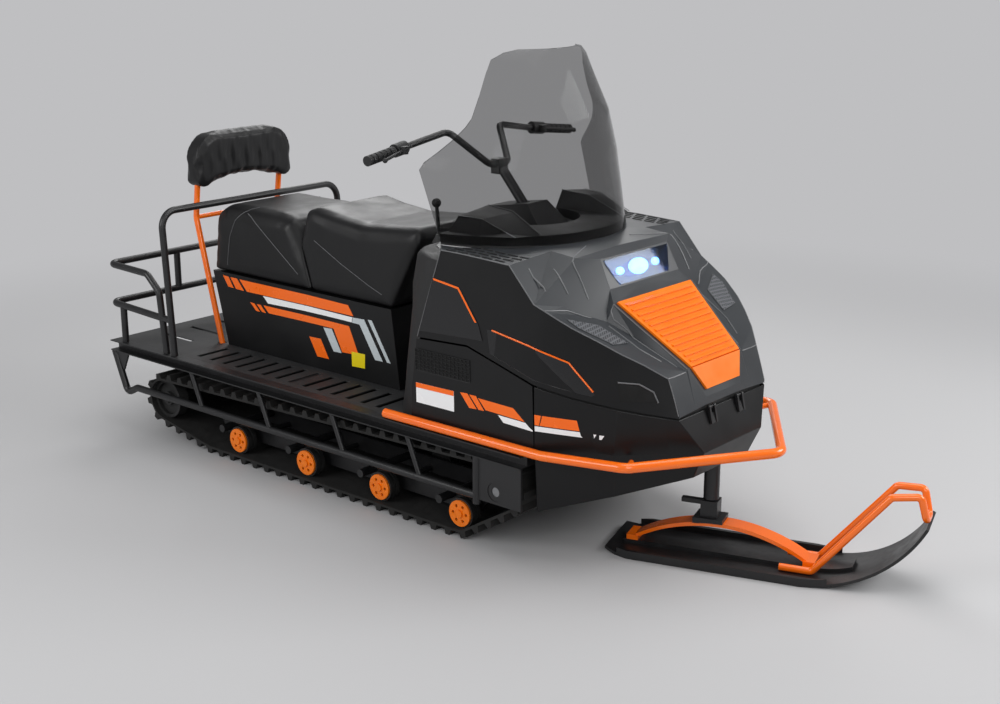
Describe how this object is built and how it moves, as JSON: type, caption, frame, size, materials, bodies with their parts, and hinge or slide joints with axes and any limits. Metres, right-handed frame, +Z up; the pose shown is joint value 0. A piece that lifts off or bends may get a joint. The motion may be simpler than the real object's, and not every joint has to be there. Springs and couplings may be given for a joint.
{
  "type": "snowmobile",
  "caption": "Two-track utility snowmobile with one steered front ski, tilting hood, windscreen, long seat with backrest and a railed rear deck.",
  "frame": {"origin": "on the floor under the middle of the whole machine", "axes": "+X forwards, +Y to the rider's left, +Z up"},
  "size_m": [3.104, 0.993, 1.496],
  "materials": {
    "black_frame": "satin black powder coat",
    "tread_plate": "textured black coat",
    "red_lens": "red lens",
    "orange_tube": "gloss orange powder coat",
    "seat_cover": "black vinyl leather",
    "body_plastic": "satin black moulded panels",
    "track_rubber": "moulded matt rubber",
    "wheel_rubber": "moulded rubber",
    "orange_plastic": "moulded gloss orange",
    "steel": "machined steel",
    "cast_engine": "plain mass",
    "trim_plastic": "grained black",
    "lamp_lens": "clear lens",
    "smoke_screen": "smoke tinted clear sheet",
    "grip_rubber": "ribbed rubber"
  },
  "bodies": {
    "chassis": {"chassis_spine": "black_frame", "deck_frame": "black_frame", "cargo_deck": "tread_plate", "running_board_right": "tread_plate", "running_board_left": "tread_plate", "side_guard_right": "black_frame", "side_guard_left": "black_frame", "tow_hitch": "black_frame", "tail_lamps": "red_lens", "rear_rack": "black_frame", "backrest_frame": "orange_tube", "backrest_pad": "seat_cover", "seat_base": "body_plastic", "rear_seat": "seat_cover", "rider_seat": "seat_cover", "track_right": "track_rubber", "track_left": "track_rubber", "bogie_right": "black_frame", "bogie_left": "black_frame", "road_wheels_right": "wheel_rubber", "road_wheels_left": "wheel_rubber", "wheel_caps_right": "orange_plastic", "wheel_caps_left": "orange_plastic", "drive_axle": "steel", "rear_idlers": "steel", "engine_block": "cast_engine", "belly_pan": "body_plastic", "side_panel_right": "body_plastic", "side_panel_left": "body_plastic", "side_vents": "trim_plastic", "knee_panel": "trim_plastic", "console": "trim_plastic", "hood_hinges": "black_frame", "front_bumper": "orange_tube", "column_mount": "black_frame", "gear_lever": "trim_plastic", "ski_head": "black_frame"},
    "hood_lid": {"hood": "body_plastic", "grille": "orange_plastic", "headlamp": "lamp_lens", "windscreen": "smoke_screen"},
    "bars": {"steering_column": "black_frame", "handlebar": "black_frame", "grips": "grip_rubber", "hand_controls": "trim_plastic"},
    "ski_set": {"ski_knuckle": "black_frame", "ski_spring": "orange_tube", "ski": "trim_plastic", "ski_loop": "orange_tube"}
  },
  "joints": [
    {"name": "steering", "type": "hinge", "parent": "chassis", "child": "bars", "pos_m": [0.06202, 0, 1.112], "axis": [-0.6561, 0, 0.7547], "range_deg": [-43, 7]},
    {"name": "ski_turn", "type": "hinge", "parent": "chassis", "child": "ski_set", "pos_m": [0.90802, 0, 0.2], "axis": [0, 0, 1], "range_deg": [-43, 7]},
    {"name": "hood_tilt", "type": "hinge", "parent": "chassis", "child": "hood_lid", "pos_m": [0.94302, 0, 0.5], "axis": [0, 1, 0], "range_deg": [0, 50]}
  ],
  "couplings": [
    {"joint": "ski_turn", "follows": "steering", "ratio": 1}
  ]
}
